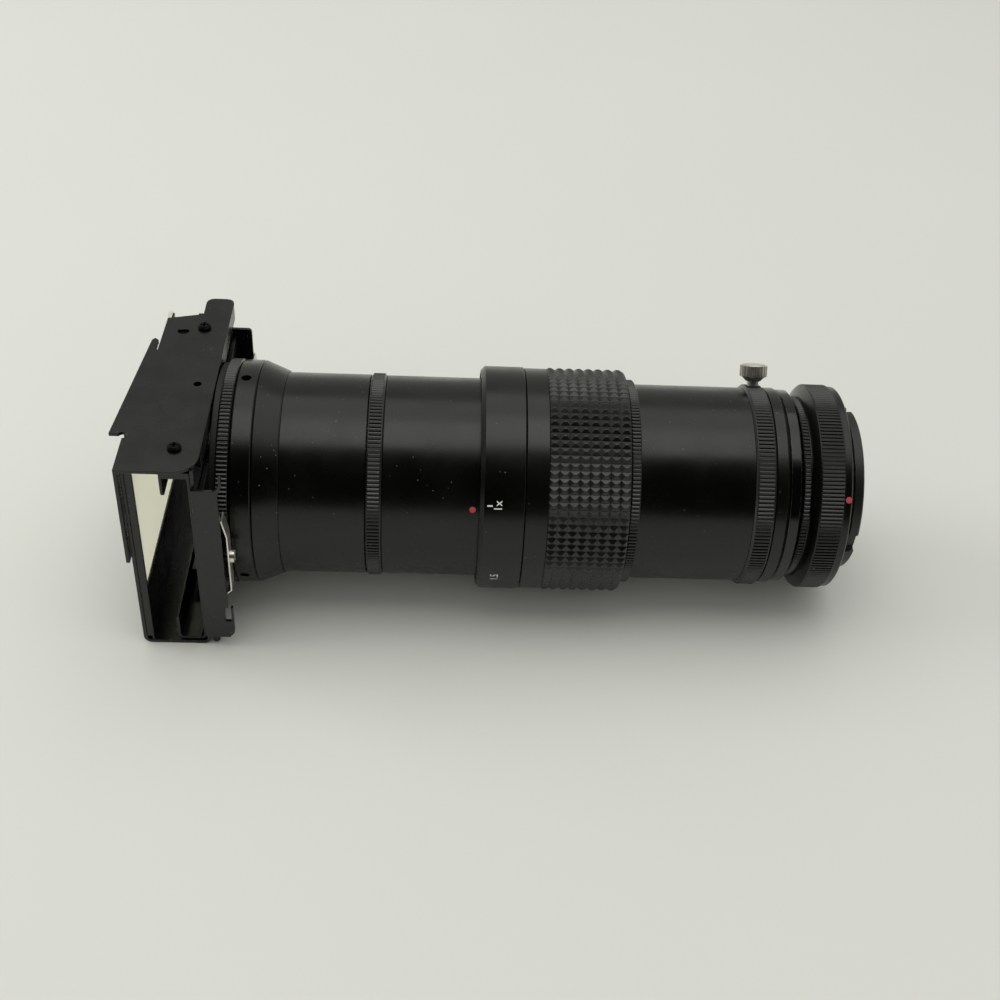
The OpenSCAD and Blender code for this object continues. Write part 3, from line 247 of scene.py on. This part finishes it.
# %% Sheet steel
PAINT = rgb("#0b0b0b")
sheet, tree, bsdf, coords = surface(
    "painted_sheet_steel", {"Base Color": PAINT, "Roughness": 0.24, "IOR": 1.5}
)
peel = add(tree, "TexNoise", {"Vector": coords, "Scale": grains(0.7), "Detail": 2})
fold = add(tree, "Bevel", {"Radius": 0.35 * MM}, samples=EDGE_SAMPLES)
dimples = {"Height": peel, "Distance": 0.006 * MM, "Strength": 1, "Normal": fold}
smudge = add(tree, "TexNoise", {"Vector": coords, "Scale": grains(9), "Detail": 5})
gloss = {"Value": smudge, "From Min": 0.35, "From Max": 0.7, "To Min": 0.2, "To Max": 0.34}
rubs = add(tree, "TexNoise", {"Vector": coords, "Scale": grains(2.2), "Detail": 6})
rubbed = add(
    tree,
    "MapRange",
    {"Value": rubs, "From Min": 0.6, "From Max": 0.66, "To Min": 0, "To Max": 0.8},
)
bare = add(tree, "Math", {0: sharp_edges(tree, 0.16), 1: rubbed}, operation="MULTIPLY")
specks = add(tree, "TexNoise", {"Vector": coords, "Scale": grains(0.8), "Detail": 1})
few = {"Value": specks, "From Min": 0.78, "From Max": 0.81, "To Min": 0, "To Max": 0.4}
share = add(tree, "MapRange", few)
dusty = add(tree, "Mix", {0: share, 6: PAINT, 7: DUST_COLOUR}, data_type="RGBA").outputs[2]
worn = add(tree, "Mix", {0: bare, 6: dusty, 7: rgb("#a8a49b")}, data_type="RGBA").outputs[2]
wire(
    bsdf,
    {
        "Base Color": worn,
        "Metallic": bare,
        "Roughness": add(tree, "MapRange", gloss),
        "Normal": add(tree, "Bump", dimples),
    },
)
print("sheet", sheet.name)

# %% [markdown]
# ## Moulded rubber grip
# The grip is a band of hard black rubber, moulded with its points. Carbon-filled rubber is a
# very dark grey with a soft sheen on each flank, and its waxes rise in a light bloom, which
# varies the gloss over several millimetres. The grain of the mould is about 0.4 mm.

# %% Rubber
rubber, tree, bsdf, coords = surface(
    "moulded_rubber", {"Base Color": rgb("#080808"), "Roughness": 0.32, "IOR": 1.6}
)
grain = add(tree, "TexNoise", {"Vector": coords, "Scale": grains(0.4), "Detail": 3})
bloom = add(tree, "TexNoise", {"Vector": coords, "Scale": grains(7), "Detail": 4})
waxy = {"Value": bloom, "From Min": 0.35, "From Max": 0.7, "To Min": 0.3, "To Max": 0.44}
wire(
    bsdf,
    {
        "Roughness": add(tree, "MapRange", waxy),
        "Normal": add(tree, "Bump", {"Height": grain, "Distance": 0.01 * MM, "Strength": 1}),
    },
)
print("rubber", rubber.name)

# %% [markdown]
# ## Bright and plain metals
# The thumb screw, the leaf springs and their screws are nickel plated: a warm white metal
# that is never quite clean. The cover's screws are steel, blackened in oil. The cells that
# hold the lenses are turned aluminium, and the pins that run in the cams are brass. Bare
# metals differ in colour and grain alone, so one function makes the four: a fine bump for
# what the tool left, and a stain that lets the roughness wander.

# %% Metals


def metal(name, colour, roughness, grain_mm, depth_mm):
    """A bare metal with a fine grain and a slight stain."""
    made, tree, bsdf, coords = surface(
        name, {"Base Color": rgb(colour), "Roughness": roughness, "Metallic": 1}
    )
    grain = add(tree, "TexNoise", {"Vector": coords, "Scale": grains(grain_mm), "Detail": 3})
    edge = add(tree, "Bevel", {"Radius": 0.12 * MM}, samples=EDGE_SAMPLES)
    tooled = {"Height": grain, "Distance": depth_mm * MM, "Strength": 1, "Normal": edge}
    stain = add(tree, "TexNoise", {"Vector": coords, "Scale": grains(3), "Detail": 4})
    dull = {
        "Value": stain,
        "From Min": 0.3,
        "From Max": 0.7,
        "To Min": roughness * 0.8,
        "To Max": roughness * 1.3,
    }
    roughened = add(tree, "MapRange", dull)
    wire(bsdf, {"Roughness": roughened, "Normal": add(tree, "Bump", tooled)})
    return made


nickel = metal("nickel_plate", "#dedbd3", 0.36, 0.5, 0.004)
blackened = metal("blackened_steel", "#1e1e20", 0.35, 0.4, 0.004)
aluminium = metal("turned_aluminium", "#b5b6b8", 0.35, 0.3, 0.004)
brass = metal("turned_brass", "#c9a45a", 0.25, 0.3, 0.003)
print("metals", nickel.name, blackened.name, aluminium.name, brass.name)

# %% [markdown]
# ## Paint fills
# The index dots are drilled hollows filled with red enamel, and the figures are engraved and
# filled with white paint. A fill dries slightly uneven, and the enamel has a clear skin over
# its colour, which is the coat of the main shader. Modelling the hollows would be wasted
# here, as the fill stands level with the metal.

# %% Fills
red_fill, tree, bsdf, coords = surface(
    "red_enamel_fill", {"Base Color": rgb("#b4434e"), "Roughness": 0.3, "Coat Weight": 0.4}
)
uneven = add(tree, "TexNoise", {"Vector": coords, "Scale": grains(0.5), "Detail": 3})
wire(bsdf, {"Normal": add(tree, "Bump", {"Height": uneven, "Distance": 0.01 * MM, "Strength": 1})})
white_fill, tree, bsdf, coords = surface(
    "white_paint_fill", {"Base Color": rgb("#d8d7d0"), "Roughness": 0.5}
)
uneven = add(tree, "TexNoise", {"Vector": coords, "Scale": grains(0.3), "Detail": 3})
wire(bsdf, {"Normal": add(tree, "Bump", {"Height": uneven, "Distance": 0.01 * MM, "Strength": 1})})
print("fills", red_fill.name, white_fill.name)

# %% [markdown]
# ## Lens glass and opal sheet
# The lenses are crown glass, with an index near 1.52, polished and coated: a layer of about
# 110 nm, whose colour the shader's thin film works out by itself. The opal sheet is acrylic
# with white grains in it, which scatter light and let much of it through. True scattering
# inside a thin sheet is slow to render and noisy. A translucent shader passes light on
# softly, as the sheet does, so four parts of it are mixed with one part of the plain surface.

# %% Glass and opal
COATING_NM = 110
THROUGH_SHARE = 0.8
glass, tree, bsdf, coords = surface(
    "coated_optical_glass",
    {
        "Base Color": rgb("#f4f6f4"),
        "Roughness": 0.01,
        "IOR": 1.52,
        "Transmission Weight": 1,
        "Thin Film Thickness": COATING_NM,
        "Thin Film IOR": 1.38,
    },
)
opal, tree, bsdf, coords = surface(
    "opal_acrylic_sheet", {"Base Color": rgb("#ebe9de"), "Roughness": 0.32, "IOR": 1.49}
)
through = add(tree, "BsdfTranslucent", {"Color": rgb("#f6f5ec")})
both = add(tree, "MixShader", {0: THROUGH_SHARE, 1: bsdf, 2: through})
wire(tree.nodes["Material Output"], {"Surface": both})
print("clear and pale", glass.name, opal.name)

# %% [markdown]
# ## Surfaces on the solids
# Each solid has one surface, and the part's record says which slot it belongs to. Naming each
# solid here would repeat that list and could drift from it, so the slot picks the material.
# The bayonet alone is an exception: it shares its slot with the collar, but is worn satin.

# %% Surfaces on the solids
by_slot = {
    "satin_black_metal": satin,
    "matt_black_metal": matt,
    "gloss_black_metal": enamel,
    "black_sheet_steel": sheet,
    "dark_steel": blackened,
    "nickel_plate": nickel,
    "plain_aluminium": aluminium,
    "brass_pins": brass,
    "grip_rubber": rubber,
    "red_enamel": red_fill,
    "optical_glass": glass,
    "opal_acrylic": opal,
}
slot_of = {part["node"]: part["material_slot"] for part in frame["record"]["subparts"]}
for name, solid in frame["nodes"].items():
    solid.data.materials.clear()
    solid.data.materials.append(by_slot[slot_of[name]])
frame["nodes"]["bayonet_ring"].data.materials[0] = satin_enamel
print("surfaced", len(slot_of), "solids in", len(by_slot), "slots")

# %% [markdown]
# ## Making pieces
# Ribs and points repeat exactly, so they are worked out as points and faces, which is faster
# and truer than modifiers or booleans on the tubes. `piece` turns them into an object that
# moves with its body. The part turns about the X axis, so `at` gives a point from its radius,
# its elevation round that axis and its place along it: 0 degrees faces the viewer, 90 is up.

# %% Making pieces


def piece(name, points, faces, look, body, smooth_deg=30):
    """An object from points in millimetres, smooth but for edges sharper than smooth_deg."""
    mesh = bpy.data.meshes.new(name)
    mesh.from_pydata([[c * MM for c in p] for p in points], [], faces)
    mesh.polygons.foreach_set("use_smooth", [True] * len(mesh.polygons))
    mesh.set_sharp_from_angle(angle=math.radians(smooth_deg))
    mesh.materials.append(look)
    made = bpy.data.objects.new(name, mesh)
    bpy.context.scene.collection.objects.link(made)
    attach(made, body)
    return made


def at(radius, elevation, x):
    """A point, in millimetres, from its radius, elevation and place along the axis."""
    turn = math.radians(elevation)
    return (x, -radius * math.cos(turn), radius * math.sin(turn))


def span(node):
    """Start, end and radius of a turned solid, in millimetres."""
    low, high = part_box(node)
    return low[0] / MM, high[0] / MM, high[2] / MM


print("main barrel spans", [round(v, 1) for v in span("main_barrel")])

# %% [markdown]
# ## Knurled rings
# A knurled ring gives the fingers hold: a wheel or a cutter leaves straight ribs round it.
# The solid under each ring is plain, with the radius of the ribs' foot. A bump in the shader
# would look right from the front but leave the outline smooth, so each rib is a real low bar
# with sloping sides. Its foot is sunk a little so that no gap shows. The numbers of ribs are
# counted from the photo, unrolled round the axis; they are 1.1 to 1.3 mm apart.

# %% Ribs
RIB_HEIGHT = 0.3
END_SLOPE = 0.18
SINK = 0.1
FOOT_SHARE, CREST_SHARE = 0.5, 0.05


def ribs(name, body, count, start, end, foot_r):
    """A row of straight ribs round a ring, from start to end along the axis."""
    points, faces = [], []
    step = 360 / count
    half_foot, half_top = FOOT_SHARE * step, CREST_SHARE * step
    sections = ((start, 0), (start + END_SLOPE, 1), (end - END_SLOPE, 1), (end, 0))
    for i in range(count):
        middle = i * step
        base = len(points)
        for x, lift in sections:
            radius = foot_r + lift * RIB_HEIGHT
            half = half_foot + lift * (half_top - half_foot)
            points.append(at(foot_r - SINK, middle - half_foot, x))
            points.append(at(radius, middle - half, x))
            points.append(at(radius, middle + half, x))
            points.append(at(foot_r - SINK, middle + half_foot, x))
        for j in range(len(sections) - 1):
            a, b = base + 4 * j, base + 4 * j + 4
            faces += [(a, a + 1, b + 1, b), (a + 1, a + 2, b + 2, b + 1)]
            faces += [(a + 2, a + 3, b + 3, b + 2), (a + 3, a, b, b + 3)]
        faces += [(base + 3, base + 2, base + 1, base)]
        faces += [(base + 12, base + 13, base + 14, base + 15)]
    piece(name, points, faces, knurl, body, 20)
    print(name, count, "ribs")


for node, body, count, margin in (
    ("stage_lock_ring", "stage_lock", 168, 0.15),
    ("coupling_ring", "coupling", 154, 0.5),
    ("retaining_ring", "barrel", 160, 0.2),
    ("lock_collar", "barrel", 157, 0.7),
):
    start, end, foot_r = span(node)
    ribs(node + "_ribs", body, count, start + margin, end - margin, foot_r)
    frame["nodes"][node].data.materials[0] = knurl

# %% [markdown]
# ## Knurls of the camera end
# The adapter ring keeps a plain band at its right, where the index dot is, and a chamfer at
# its left, so its ribs stand only between them. The insert carries ribs on its rim alone.

# %% Camera end
BAND, CHAMFER, RIM = 2.2, 1.6, 2.8
start, end, foot_r = span("adapter_body")
ribs("adapter_ribs", "camera_end", 168, start + CHAMFER + 0.2, -BAND - 0.25, foot_r)
start, end, foot_r = span("adapter_insert")
ribs("insert_ribs", "camera_end", 140, start + 0.45, start + RIM - 0.45, foot_r)

# %% [markdown]
# ## Zoom grip
# The rubber band is moulded in eight columns and ninety-two rows of small blunt pyramids,
# counted from the photo. They could be cut by crossing grooves, but that takes hundreds of
# booleans. Here every cell takes four corners at the bottom of the grooves, shared with its
# neighbours, and a small flat on top. The piece replaces the plain band of the solids.

# %% Grip
GROOVE_DEPTH, SEAT_DEPTH = 0.62, 0.8
FLAT = ((0.37, 0.45), (0.63, 0.45), (0.63, 0.54), (0.37, 0.54))
columns, rows = 8, 92
start, end, crest_r = span("zoom_grip")
valley_r = crest_r - GROOVE_DEPTH
seat_r = valley_r - SEAT_DEPTH
width, turn = (end - start) / columns, 360 / rows
points, faces = [], []
for row in range(rows):
    for column in range(columns + 1):
        points.append(at(valley_r, row * turn, start + column * width))
grid = columns + 1
for row in range(rows):
    for column in range(columns):
        x, e = start + column * width, row * turn
        top = len(points)
        for part_x, part_e in FLAT:
            points.append(at(crest_r, e + part_e * turn, x + part_x * width))
        low_a = row * grid + column
        low_b = (row + 1) % rows * grid + column
        corners = [low_a, low_a + 1, low_b + 1, low_b]
        faces.append((top, top + 1, top + 2, top + 3))
        for k in range(4):
            n = (k + 1) % 4
            faces.append((corners[k], corners[n], top + n, top + k))
print("grip cells", rows * columns)

# %% [markdown]
# The band also has an inside, where it sits on the sleeve, and two end faces. With them the
# mesh is closed, as rubber is, and nothing shows through it from any side.

# %% Grip, inside and ends
inner = len(points)
for row in range(rows):
    points += [at(seat_r, row * turn, start), at(seat_r, row * turn, end)]
for row in range(rows):
    a, b = inner + 2 * row, inner + 2 * ((row + 1) % rows)
    near, far = row * grid, (row + 1) % rows * grid
    faces.append((a, a + 1, b + 1, b))
    faces.append((near, far, b, a))
    faces.append((near + columns, a + 1, b + 1, far + columns))
grip = piece("zoom_grip_points", points, faces, rubber, "zoom_ring", 5)
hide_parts("zoom_grip")
print("grip faces", len(faces))

# %% [markdown]
# ## Scale figures
# The zoom scale runs round the ring in plain figures, and a tick marks the first. A picture
# of them on the ring would blur close up, so each is a text object, which Blender fills with
# a mesh. That is laid flat and then wrapped: across becomes X, and along becomes elevation.
# The paint stands 0.02 mm proud of the ring, as thick paint does.

# %% Figures
CAP_SHARE = 0.7
NARROW = 0.95
STROKE_GROWTH = 0.02
start, end, scale_r = span("zoom_scale_ring")
paint_r = scale_r + 0.02


def wrapped(name, flat_points, faces, x, elevation):
    """Flat points (across, along) wrapped round the ring: along runs up the elevation."""
    points = [
        at(paint_r, elevation + math.degrees(along / paint_r), x + across)
        for across, along in flat_points
    ]
    return piece(name, points, faces, white_fill, "zoom_ring")


def figure(name, text, height, x, elevation):
    """Text that reads upwards round the ring, with the tops of its letters towards -X."""
    curve = bpy.data.curves.new(name, "FONT")
    curve.body = text
    curve.size = height / CAP_SHARE
    curve.align_x = "CENTER"
    curve.resolution_u = 6
    curve.offset = STROKE_GROWTH
    source = bpy.data.objects.new(name + "_flat", curve)
    bpy.context.scene.collection.objects.link(source)
    bpy.context.view_layer.update()
    shown = source.evaluated_get(bpy.context.evaluated_depsgraph_get())
    flat = bpy.data.meshes.new_from_object(shown)
    flat_points = [(-v.co.y, v.co.x * NARROW) for v in flat.vertices]
    faces = [tuple(p.vertices) for p in flat.polygons]
    bpy.data.objects.remove(source)
    return wrapped(name, flat_points, faces, x, elevation)


figure_x, figure_height = start + 6.4, 2.4
for number, elevation in (("1x", 25.0), ("1.5", -21.8), ("2", -60.0), ("2.5", -95.0)):
    figure("scale_" + number.replace(".", "_"), number, figure_height, figure_x, elevation)
tick_x, tick_long, tick_half = start + 2.1, 1.6, 0.24
tick = [(0, -tick_half), (tick_long, -tick_half), (tick_long, tick_half), (0, tick_half)]
wrapped("scale_tick", tick, [(0, 1, 2, 3)], tick_x, 25.0)
print("figures at", round(figure_x, 1), "mm")

# %% [markdown]
# ## Table
# The duplicator lies on a pale matt board, whose fibres give it a faint tooth and whose tone
# drifts a little over its length. A lens barrel rests on its widest places, so the board is
# turned by a quarter of a degree to touch the floor of the stage and the back end of the
# grip, rather than lifting the part or letting it float. It is stage dressing, not a part of
# the duplicator.

# %% Table
HALF_SIDE = 2
TOUCH = 0.018
board, tree, bsdf, coords = surface(
    "matt_white_board", {"Base Color": rgb("#d0d0cd"), "Roughness": 0.75, "IOR": 1.45}
)
fibres = add(tree, "TexNoise", {"Vector": coords, "Scale": grains(3), "Detail": 6})
drift = add(tree, "TexNoise", {"Vector": coords, "Scale": grains(160), "Detail": 3})
pale = add(tree, "Mix", {0: drift, 6: rgb("#cececb"), 7: rgb("#d2d2cf")}, data_type="RGBA")
tooth = add(tree, "Bump", {"Height": fibres, "Distance": 0.03 * MM, "Strength": 1})
wire(bsdf, {"Base Color": pale.outputs[2], "Normal": tooth})
corners = ((-1, -1), (1, -1), (1, 1), (-1, 1))
table_mesh = bpy.data.meshes.new("table")
table_mesh.from_pydata([[x * HALF_SIDE, y * HALF_SIDE, 0] for x, y in corners], [], [(0, 1, 2, 3)])
table_mesh.materials.append(board)
table = bpy.data.objects.new("table", table_mesh)
bpy.context.scene.collection.objects.link(table)
stage_low, stage_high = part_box("stage_housing")
grip_low, grip_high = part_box("zoom_grip")
slope = (grip_low[2] - stage_low[2]) / (grip_high[0] - stage_low[0] - TOUCH)
table.location = (stage_low[0] + TOUCH, 0, stage_low[2])
table.rotation_euler = (0, -math.atan(slope), 0)
print("table slope", round(math.degrees(math.atan(slope)), 3))

# %% [markdown]
# ## Lamps
# The photo was taken under a broad soft light from above: shadows fade out within a few
# centimetres, and the barrel carries one long highlight. A sun lamp would draw hard edges.
# So a very wide square lamp hangs overhead, with a small one in front of it, and a weaker one
# at the left lights the opal sheet from outside. That last one stays out of reflections, as
# the photo shows no window mirrored in the rings.

# %% Lamps
ROOM_TINT = rgb("#fefff8")


def lamp(name, place, aim, size, watts):
    """A square soft lamp turned towards a point."""
    data = bpy.data.lights.new(name, "AREA")
    data.size = size
    data.energy = watts
    data.color = ROOM_TINT[:3]
    made = bpy.data.objects.new(name, data)
    made.location = place
    made.rotation_euler = (Vector(aim) - Vector(place)).to_track_quat("-Z", "Y").to_euler()
    bpy.context.scene.collection.objects.link(made)
    return made


lamp("overhead", (-0.05, 0.35, 1.2), (-0.05, 0.35, 0), 1.6, 7.0)
lamp("overhead_near", (-0.1, -0.1, 1.19), (-0.1, -0.1, 0), 0.7, 1.3)
window = lamp("left_window", (-1.3, 0.15, 0.6), (-0.1, 0, 0), 0.8, 7)
window.visible_glossy = False
print("lamps", len(bpy.data.lights))

# %% [markdown]
# ## Room
# Walls and ceiling send a pale light from all round, which fills the shadows. Black gloss
# shows the room as a mirror does, and the dark band along the middle of the barrel is the
# dark side of the room, behind the camera. A modelled room would do both, at the price of
# many more light bounces. The world does it with one test: for reflections alone, its
# strength falls to nothing where a ray leaves towards the camera's side.

# %% Room
FILL = 0.61
MIRRORED = 0.4
world = bpy.data.worlds.new("room")
world.use_nodes = True
tree = world.node_tree
direction = add(tree, "TexCoord").outputs["Generated"]
depth = add(tree, "SeparateXYZ", {0: direction}).outputs["Y"]
shade = add(
    tree,
    "MapRange",
    {"Value": depth, "From Min": -0.5, "From Max": -0.3, "To Min": 0, "To Max": MIRRORED},
)
glossy = add(tree, "LightPath").outputs["Is Glossy Ray"]
strength = add(tree, "Mix", {0: glossy, 2: FILL, 3: shade})
wire(tree.nodes["Background"], {"Color": ROOM_TINT, "Strength": strength})
bpy.context.scene.world = world
print("room fill", FILL)

# %% [markdown]
# ## Camera
# A camera could be placed by eye, but then no edge falls where the photo has it. Its place,
# its turn and its focal length of 1460 pixels were worked out by fitting the barrel's
# outlines, the ends of its rings and the edges of the stage. The photo is a square of 1000
# pixels, so the lens is given for a sensor 36 mm wide.

# %% Camera
SENSOR = 36
FOCAL_PIXELS, PHOTO_PIXELS = 1460, 1000
place = Vector((-0.12121, -0.35180, 0.28587))
right = Vector((0.9987, -0.0150, 0.0482)).normalized()
ahead = Vector((0.0424, 0.7655, -0.6421)).normalized()
up = right.cross(ahead).normalized()
right = ahead.cross(up)
lens = bpy.data.cameras.new("camera")
lens.sensor_width = SENSOR
lens.lens = SENSOR * FOCAL_PIXELS / PHOTO_PIXELS
lens.clip_start = 0.01
camera = bpy.data.objects.new("camera", lens)
camera.matrix_world = Matrix(
    [
        [right.x, up.x, -ahead.x, place.x],
        [right.y, up.y, -ahead.y, place.y],
        [right.z, up.z, -ahead.z, place.z],
        [0, 0, 0, 1],
    ]
)
bpy.context.scene.collection.objects.link(camera)
bpy.context.scene.camera = camera
bpy.context.scene.view_settings.view_transform = "Standard"
print("camera at", [round(c, 3) for c in place])
